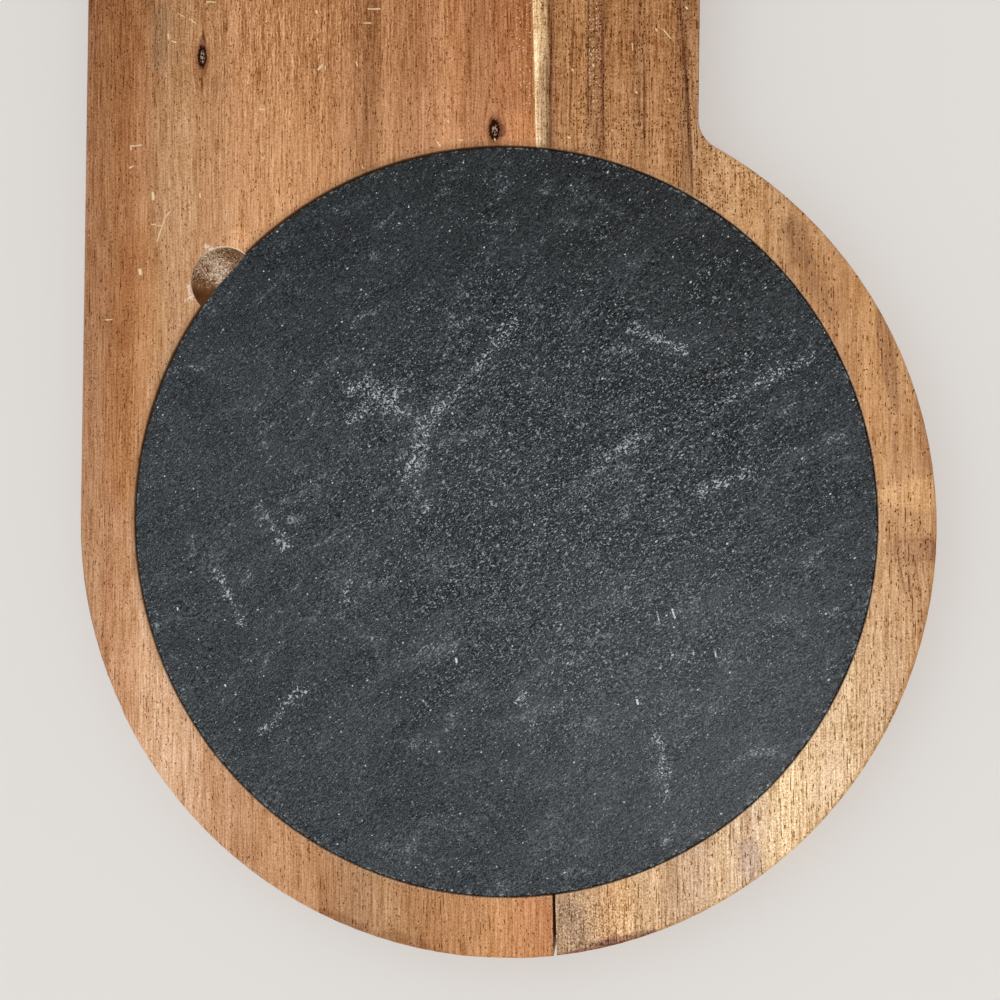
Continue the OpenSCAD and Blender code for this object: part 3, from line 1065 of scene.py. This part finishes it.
def torn_scoop(wood, board, colour):
    """Adds the finger scoop: torn pale grain in its upper part, smooth lower down, with painted
    shade that darkens it downwards and a painted highlight stripe.
    """
    x, y, z = wood.split(board)
    reach = wood.spot(board, (*SCOOP_AT[:2], BOARD_T), ROUND)
    above = wood.fade(z, *ABOVE_SCOOP)
    inside = wood.times(wood.fade(z, *INSIDE_TOP), wood.fade(reach, *INSIDE_FADE))
    inside = wood.times(inside, above)
    fluff = wood.cloud(board, FLUFF_MM, rough=0.7, warp=0.5)
    patch = wood.cloud(board, TORN_PATCH_MM, (3, 3, 0))
    thick = wood.oval(board, BOARD_T, FLUFFY, FLUFFY_FADE)
    torn = wood.total(wood.plus(fluff, thick), (wood.swing(patch, 1.0), TORN_PATCH))
    torn = wood.ramp(torn, TORN_TONES)
    middle = wood.fade(wood.maths("ABSOLUTE", wood.minus(x, SHINE_X)), *SHINE_FADE)
    # Smooth wood with painted shade that deepens downwards, and a painted highlight stripe
    smooth = wood.mix(wood.fade(y, *SCOOP_SHADE_FADE), SCOOP_BROWN, SCOOP_DARK)
    smooth = wood.mix(wood.times(middle, SHINE_COVER), smooth, SCOOP_SHINE)
    upper = wood.fade(wood.plus(y, wood.swing(patch, TORN_WANDER)), *TORN_FADE)
    colour = wood.mix(inside, colour, wood.mix(upper, smooth, torn))
    lip = wood.plus(wood.maths("ABSOLUTE", wood.minus(reach, LIP_R)), wood.swing(patch, LIP_RAG))
    lip = wood.times(wood.fade(lip, *LIP_FADE), wood.fade(wood.plus(x, y), *LIP_SIDE))
    colour = wood.mix(wood.times(lip, wood.times(above, LIP_COVER)), colour, PALE_LIP)
    tuft = wood.strokes(board, BOARD_T, SPLINTERS, wood.swing(fluff, TUFT_RAG))
    tuft = wood.times(tuft, wood.fade(fluff, *TUFT_FADE))
    return wood.mix(wood.times(tuft, TUFT_COVER), colour, PALE_TUFT)


def glue_finish():
    """Cured glue, gone dark with dust, and pale beside the sapwood at the top."""
    glue = Finish("dark_glue")
    place = glue.object_mm()
    speck = glue.cloud(place, GLUE_SPECK_MM, detail=3)
    colour = glue.ramp(speck, GLUE_TONES)
    colour = glue.mix(glue.fade(glue.split(place)[1], *PALE_GLUE_FADE), colour, PALE_GLUE)
    return glue.surface(colour, glue.plus(GLUE_ROUGH, glue.swing(speck, GLUE_ROUGH_SWING)),
                        glue.times(speck, GLUE_HIGH))


def slate_finish():
    """Riven slate: dark blue-grey, finely speckled, with pale scuffs along its cleavage."""
    stone = Finish("riven_slate")
    place = stone.object_mm()
    x, y, _ = stone.split(place)
    turned = stone.space(place, (*SLATE_AT, 0), CLEAVAGE_TURN)
    bend = stone.cloud(place, BEND_MM, detail=2)
    along, across, deep = stone.split(turned)
    lay = stone.join(along, stone.plus(across, stone.swing(bend, LAY_BEND)), deep)
    calm = stone.join(along, stone.plus(across, stone.swing(bend, CALM_BEND)), deep)
    broad = stone.cloud(lay, SWELL_MM, detail=3, rough=0.6)
    wrinkle = stone.cloud(calm, WRINKLE_MM, (3, 8, 0), rough=0.6)
    grit = stone.cloud(calm, GRIT_MM, (1, 2, 0), rough=0.6)
    drift = stone.cloud(lay, DRIFT_MM, (0, 4, 0), detail=4, rough=0.65)
    busy = stone.oval(place, SLATE_TOP, BUSY, BUSY_FADE, stone.swing(broad, BUSY_WANDER))
    sunny = stone.oval(place, SLATE_TOP, SUNNY, SUNNY_FADE)

    gain = stone.total(GRIT_GAIN, (busy, BUSY_GAIN), (sunny, SUNNY_GAIN))
    wrinkled = stone.fade(wrinkle, *WRINKLE_FADE)
    tone = stone.total(stone.fade(busy, 0, 1, *TONE_MIDDLES),
                       (stone.swing(grit, 1.0), gain), (stone.swing(wrinkled, 1.0), WRINKLE_TONE),
                       (stone.swing(broad, 1.0), BROAD_TONE), (stone.swing(drift, 1.0), DRIFT_TONE))
    colour = stone.ramp(tone, SLATE_TONES)
    light = stone.times(stone.fade(y, *SLATE_LIGHT_Y), stone.fade(x, *SLATE_LIGHT_X))
    colour = stone.tint(colour, light)
    # Painted glare over the sunny lower right
    colour = stone.mix(stone.times(sunny, PAINTED_GLARE), colour, SCUFF_AND_GLARE_GREY)

    edge = stone.total(0.0, (stone.swing(drift, 1.0), SCUFF_DRIFT),
                       (stone.swing(wrinkle, 1.0), SCUFF_WRINKLE))
    scuffs = stone.strokes(place, SLATE_TOP, SCUFFS, edge, SCUFF_SPREAD)
    curl = stone.cloud(place, WORM_MM, (7, 1, 0), warp=0.8)
    gaps = stone.cloud(place, GAP_MM, (2, 5, 0))
    worm = stone.fade(stone.maths("ABSOLUTE", stone.swing(curl, 1)), *WORM_FADE)
    worm = stone.times(worm, stone.fade(gaps, *WORM_GAPS))
    flake = stone.fade(stone.plus(wrinkle, stone.swing(grit, FLAKE_GRIT)), *FLAKE_FADE)
    worn = stone.total(stone.fade(drift, *STRAY_SCUFFS), (scuffs, SCUFF_STRENGTH))
    colour = stone.mix(stone.times(worn, stone.times(flake, FLAKE_COVER)), colour, SCUFF_AND_GLARE_GREY)
    colour = stone.mix(stone.times(worn, worm), colour, BRIGHT_GREY)

    curled = stone.plus(along, stone.swing(curl, HAIR_CURL))
    flat = stone.join(curled, stone.plus(across, deep), 0.0)
    hairs = stone.total(HAIR_SHARES[0], (busy, HAIR_SHARES[1]))
    hairs = stone.marks(flat, HAIR_CELL, hairs, HAIR_RADIUS)
    colour = stone.mix(stone.times(hairs, HAIR_COVER), colour, BRIGHT_GREY)
    thin = stone.cloud(calm, THIN_MM, (4, 6, 0), warp=0.7)
    thin = stone.fade(stone.maths("ABSOLUTE", stone.swing(thin, 1)), *THIN_FADE)
    thin = stone.times(thin, stone.fade(gaps, *THIN_GAPS))
    thin = stone.times(thin, stone.total(THIN_SHARES[0], (busy, THIN_SHARES[1])))
    colour = stone.mix(thin, colour, BRIGHT_GREY)
    dust = stone.total(SPECK_SHARES[0], (busy, SPECK_SHARES[1]))
    dust = stone.marks(flat, SPECK_CELL, dust, SPECK_RADIUS)
    colour = stone.mix(stone.times(dust, SPECK_COVER), colour, SCUFF_AND_GLARE_GREY)
    crumb = stone.marks(flat, CRUMB_CELL, CRUMB_SHARE, CRUMB_RADIUS)
    colour = stone.mix(stone.times(crumb, CRUMB_COVER), colour, CRUMB_GREY)

    chips = stone.strokes(place, SLATE_TOP, CHIPS, stone.swing(grit, CHIP_RAG), CHIP_SPREAD)
    colour = stone.mix(stone.times(chips, CHIP_COVER), colour, CHIP_GREY)
    reach = stone.spot(place, (*SLATE_AT, SLATE_TOP), ROUND)
    bruise = stone.fade(stone.plus(reach, stone.swing(wrinkle, BRUISE_RAG)), *BRUISE_FADE)
    bruise = stone.times(bruise, stone.fade(curl, *BRUISE_SPOTS))
    colour = stone.mix(stone.times(bruise, BRUISE_COVER), colour, SCUFF_AND_GLARE_GREY)

    height = stone.total(0.0, (grit, GRIT_HIGH), (wrinkle, WRINKLE_HIGH), (broad, BROAD_HIGH))
    roughness = stone.plus(SLATE_ROUGH, stone.swing(grit, SLATE_ROUGH_SWING))
    stone.feed(stone.shader.inputs["Specular IOR Level"], stone.fade(tone, *SLATE_SHEEN))
    return stone.surface(colour, roughness, height)


def camera():
    eye = bpy.data.cameras.new("camera")
    eye.sensor_fit = "HORIZONTAL"
    eye.sensor_width = CAMERA_SENSOR
    eye.lens = CAMERA_LENS
    eye.clip_start = CAMERA_NEAR * MM
    holder = bpy.data.objects.new("camera", eye)
    bpy.context.scene.collection.objects.link(holder)
    turn = Matrix.Rotation(math.radians(CAMERA_TURN), 3, "Z")
    turn = turn @ Matrix.Rotation(math.radians(CAMERA_PITCH), 3, "X")
    turn = turn @ Matrix.Rotation(math.radians(CAMERA_LEAN), 3, "Y")
    holder.rotation_euler = turn.to_euler()
    holder.location = Vector(CAMERA_AT) * MM
    bpy.context.scene.camera = holder


def lights():
    lamp = bpy.data.lights.new("soft_lamp", "AREA")
    lamp.shape = "RECTANGLE"
    lamp.size = LAMP_SIZE * MM
    lamp.size_y = LAMP_SIZE * MM
    lamp.energy = LAMP_WATTS
    holder = bpy.data.objects.new("soft_lamp", lamp)
    bpy.context.scene.collection.objects.link(holder)
    away = Vector(LAMP_FROM).normalized()
    holder.location = (Vector(LAMP_AIM) + away * LAMP_AWAY) * MM
    holder.rotation_euler = away.to_track_quat("Z", "Y").to_euler()
    sky = bpy.data.worlds.new("sky")
    sky.use_nodes = True
    tree = sky.node_tree
    background = tree.nodes["Background"]
    background.inputs["Color"].default_value = (1, 1, 1, 1)
    direction = tree.nodes.new("ShaderNodeTexCoord")
    nearness = tree.nodes.new("ShaderNodeVectorMath")
    nearness.operation = "DOT_PRODUCT"
    nearness.inputs[1].default_value = Vector(SKY_DARKEST).normalized()
    height = tree.nodes.new("ShaderNodeMapRange")
    height.inputs["From Min"].default_value = SKY_LOWEST
    height.inputs["To Min"].default_value = SKY_HORIZON
    height.inputs["To Max"].default_value = SKY_OVERHEAD
    tree.links.new(direction.outputs["Generated"], nearness.inputs[0])
    tree.links.new(nearness.outputs["Value"], height.inputs["Value"])
    tree.links.new(height.outputs[0], background.inputs["Strength"])
    bpy.context.scene.world = sky


def fresh(add, **settings):
    """What an operator adds, with nothing else selected."""
    bpy.ops.object.select_all(action="DESELECT")
    add(**settings)
    return bpy.context.object


def floor():
    cloth = fresh(bpy.ops.mesh.primitive_plane_add, size=FLOOR_SIZE * MM, location=(0, 0, 0))
    cloth.name = "floor"
    paint = Finish("pale_floor")
    paint.shader.inputs["Base Color"].default_value = (*FLOOR_COLOUR, 1)
    paint.shader.inputs["Roughness"].default_value = FLOOR_ROUGH
    paint.shader.inputs["Specular IOR Level"].default_value = FLOOR_SHEEN
    cloth.data.materials.append(paint.material)


def wave(along, across, sizes, seed):
    """Place in a noise whose waves have the given sizes along and across."""
    return Vector((along / sizes[0], across / sizes[1], seed))


def slate_relief(x, y):
    """Height of the riven face against the slate's top, at x, y from its centre."""
    turn = math.radians(CLEAVAGE_TURN)
    along = x * math.cos(turn) + y * math.sin(turn)
    across = y * math.cos(turn) - x * math.sin(turn)
    across += WANDER * noise.noise(wave(x, y, (WANDER_MM, WANDER_MM), 2.5))
    swell = noise.noise(wave(along, across, SWELL, 0.5))
    leaf = noise.fractal(wave(along, across, LEAF, 4.5), 0.9, 2.1, 4) * LEAVES
    part = leaf - math.floor(leaf)
    step = math.floor(leaf) + min(1, max(0, (part - 0.5) * STEP_STEEP + 0.5))
    grain = noise.fractal(wave(along, across, RIVEN_GRAIN, 7.5), 0.8, 2.1, 2)
    return SWELL[2] * swell + LEAF[2] * step + RIVEN_GRAIN[2] * grain - FACE_SUNK


def slate_rim(angle):
    """Radius of the dressed edge, a little ragged."""
    lean = LEAN * math.cos(angle - math.radians(LEAN_TURN)) - RIM_PULL
    ring = Vector((math.cos(angle), math.sin(angle), 0))
    rag = COARSE_RAG[1] * noise.fractal(ring * COARSE_RAG[0], 0.8, 2.0, 3)
    rag += FINE_RAG[1] * noise.noise(ring * FINE_RAG[0])
    return min(SLATE_R + lean + rag, RIM_LIMIT)


def square_to_round(x, y):
    """Radius and angle on a disc of radius one for a place on a square of half side one."""
    if abs(x) < CENTRE_SLACK and abs(y) < CENTRE_SLACK:
        return 0.0, 0.0
    if abs(x) >= abs(y):
        return abs(x), math.pi / 4 * y / x + (math.pi if x < 0 else 0)
    return abs(y), math.pi / 2 - math.pi / 4 * x / y + (math.pi if y < 0 else 0)


def slate_piece():
    """The riven slate: a face of fine relief and a chipped, dressed rim round it."""
    slate = fresh(bpy.ops.mesh.primitive_grid_add, x_subdivisions=SLATE_STEPS,
                  y_subdivisions=SLATE_STEPS, size=2)
    slate.name = "riven_slate"
    for point in slate.data.vertices:
        radius, angle = square_to_round(point.co.x, point.co.y)
        reach = radius * (slate_rim(angle) - SLATE_BEVEL)
        x, y = reach * math.cos(angle), reach * math.sin(angle)
        point.co = (x, y, SLATE_TOP + slate_relief(x, y))
    bpy.ops.object.mode_set(mode="EDIT")
    bpy.ops.mesh.select_mode(type="EDGE")
    bpy.ops.mesh.select_all(action="DESELECT")
    bpy.ops.mesh.select_non_manifold()
    for (grow, drop, seed) in SLATE_RINGS:
        bpy.ops.mesh.extrude_edges_move()
        bpy.ops.object.mode_set(mode="OBJECT")
        for point in slate.data.vertices:
            if not point.select:
                continue
            angle = math.atan2(point.co.y, point.co.x)
            ring = Vector((math.cos(angle), math.sin(angle), seed))
            chip = CHIP_DEEP * noise.fractal(ring * CHIPS_ROUND, 0.9, 2.0, 3)
            chip = chip if drop < SMOOTH_DROP else 0
            reach = slate_rim(angle) - SLATE_BEVEL + grow + chip
            z = SLATE_TOP - drop + chip * CHIP_RISE
            point.co = (reach * math.cos(angle), reach * math.sin(angle), z)
        bpy.ops.object.mode_set(mode="EDIT")
    bpy.ops.mesh.edge_face_add()
    bpy.ops.mesh.select_all(action="SELECT")
    bpy.ops.mesh.normals_make_consistent(inside=False)
    bpy.ops.object.mode_set(mode="OBJECT")
    slate.data.transform(Matrix.Translation(Vector((*SLATE_AT, 0)) * MM) @ Matrix.Scale(MM, 4))
    bpy.ops.object.shade_smooth()
    for face in slate.data.polygons:
        face.use_smooth = face.normal.z > UNDERSIDE
    slate.data.materials.append(slate_finish())
    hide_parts("slate_disc")
    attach(slate, "slate")


def choose(piece):
    """Makes a piece the one that the next steps work on."""
    bpy.ops.object.select_all(action="DESELECT")
    piece.select_set(True)
    bpy.context.view_layer.objects.active = piece


def copy_of(node, name):
    """A merged copy of a CAD node's mesh, to be shaped further."""
    piece = bpy.data.objects.new(name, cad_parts[node].data.copy())
    bpy.context.scene.collection.objects.link(piece)
    choose(piece)
    bpy.ops.object.mode_set(mode="EDIT")
    bpy.ops.mesh.select_all(action="SELECT")
    bpy.ops.mesh.remove_doubles(threshold=MERGE * MM)
    bpy.ops.object.mode_set(mode="OBJECT")
    return piece


def draw_in_recess(piece):
    """Narrows the recess's mouth and draws its wall in to the slate, least at the upper left.

    What lies on the seam's flat face moves along that face only, so the face stays flat.
    """
    centre = Vector((*SLATE_AT, 0)) * MM
    seam = {}
    for face in piece.data.polygons:
        out = (face.center - centre) * Vector((1, 1, 0))
        if abs(face.normal.z) < UPRIGHT and abs(face.normal.dot(out.normalized())) < SIDEWAYS:
            seam.update((corner, face.normal.copy()) for corner in face.vertices)
    for point in piece.data.vertices:
        x, y, z = (point.co - centre) / MM
        reach, angle = math.hypot(x, y), math.atan2(y, x)
        if abs(reach - RECESS_R) < MOUTH_W and z > RECESS_FLOOR - FLOOR_SLACK:
            upper_left = max(0, math.cos(angle - math.radians(TIGHT_TURN)))
            drawn = RECESS_R + (reach - RECESS_R) * MOUTH_SHARE
            drawn -= RECESS_PULL * (1 - TIGHT_SHARE * upper_left ** 3)
            move = Vector((x, y, 0)) * (drawn / reach - 1) * MM
            if point.index in seam:
                move -= seam[point.index] * move.dot(seam[point.index])
            point.co += move


def smooth(piece):
    """Rounds the shading over small angles and keeps the flat faces flat."""
    choose(piece)
    bpy.ops.object.mode_set(mode="EDIT")
    bpy.ops.mesh.select_all(action="SELECT")
    bpy.ops.mesh.dissolve_degenerate(threshold=SLIVER * MM)
    bpy.ops.mesh.select_mode(type="EDGE")
    bpy.ops.mesh.select_all(action="DESELECT")
    bpy.ops.mesh.edges_select_sharp(sharpness=math.radians(SHARP_TURN))
    bpy.ops.mesh.mark_sharp()
    bpy.ops.object.mode_set(mode="OBJECT")
    bpy.ops.object.shade_smooth()
    weigh = piece.modifiers.new("weigh", "WEIGHTED_NORMAL")
    weigh.keep_sharp = True
    bpy.ops.object.modifier_apply(modifier=weigh.name)


def carve(piece, cutter):
    """Cuts the cutter's shape out of a piece and takes the cutter away."""
    choose(piece)
    cut = piece.modifiers.new("cut", "BOOLEAN")
    cut.operation = "DIFFERENCE"
    cut.solver = "EXACT"
    cut.object = cutter
    bpy.ops.object.modifier_apply(modifier=cut.name)
    bpy.data.objects.remove(cutter)


def torn_ball():
    """The cutter that tore the scoop: a ball with ragged fibres in its upper part."""
    ball = fresh(bpy.ops.mesh.primitive_ico_sphere_add, subdivisions=BALL_STEPS, radius=1)
    for point in ball.data.vertices:
        away = point.co.normalized()
        x, y, z = away * SCOOP_R
        upper = min(1, max(0, (y - TORN_FROM) / TORN_OVER))
        fibre = Vector((x / FIBRE_MM[0], y / FIBRE_MM[1], z / FIBRE_MM[2]))
        fibre = abs(noise.fractal(fibre, 0.9, 2.0, 2))
        lump = Vector((x / LUMP_MM[0], y / LUMP_MM[1], z / LUMP_MM[2] + 5))
        lump = abs(noise.fractal(lump, 0.9, 2.0, 2))
        reach = SCOOP_R + SCOOP_SPARE + LUMP_EVERYWHERE * lump
        reach += upper * (FIBRE_DEEP * fibre + LUMP_DEEP * lump)
        point.co = (Vector(SCOOP_AT) + away * reach) * MM
    return ball


def knot_pit(at, half, seed):
    """A shallow ragged hollow where a small knot has shrunk."""
    pit = fresh(bpy.ops.mesh.primitive_uv_sphere_add, segments=PIT_SEGMENTS,
                ring_count=PIT_RINGS, radius=1)
    turn = Matrix.Rotation(math.radians(GRAIN_TURN), 3, "Z")
    middle = turn @ Vector((*at, 0)) + Vector((SEAM_X, 0, BOARD_T))
    for point in pit.data.vertices:
        rag = 1 + PIT_RAG * noise.noise(point.co * PIT_WAVES + Vector((seed, 0, 0)))
        x, y, z = point.co
        shape = Vector((x * half[0] * PIT_SHARES[0], y * half[1] * PIT_SHARES[1], z * KNOT_DEPTH))
        point.co = (middle + turn @ (shape * rag)) * MM
    return pit


def left_plank_piece():
    """The left plank with its torn finger scoop and the pits of its two knots."""
    plank = copy_of("left_plank", "left_board")
    draw_in_recess(plank)
    carve(plank, torn_ball())
    for seed, (at, half) in enumerate(KNOTS):
        carve(plank, knot_pit(at, half, seed))
    smooth(plank)
    plank.data.materials.clear()
    plank.data.materials.append(plank_finish(
        "left_wood", LEFT_BANDS, LEFT_LOW_BANDS, LEFT_CHANGE,
        (KNOTS, LEFT_NICKS, LEFT_SMEARS, LEFT_DUSTY), left_feel, LEFT_WANDER, LEFT_SEED))
    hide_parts("left_plank")
    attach(plank, "board")


def right_plank_piece():
    """The right plank, with the recess's wall close to the slate."""
    plank = copy_of("right_plank", "right_board")
    draw_in_recess(plank)
    smooth(plank)
    plank.data.materials.clear()
    plank.data.materials.append(plank_finish(
        "right_wood", RIGHT_BANDS, RIGHT_LOW_BANDS, RIGHT_CHANGE,
        ([], RIGHT_NICKS, RIGHT_SMEARS, RIGHT_DUSTY), right_feel, RIGHT_WANDER, RIGHT_SEED))
    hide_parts("right_plank")
    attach(plank, "board")


def dress(node, material):
    """Gives a CAD node its finish."""
    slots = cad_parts[node].data.materials
    slots.clear()
    slots.append(material)


camera()
lights()
floor()
left_plank_piece()
right_plank_piece()
dress("glue_line", glue_finish())
slate_piece()
bpy.context.scene.view_settings.view_transform = "Standard"
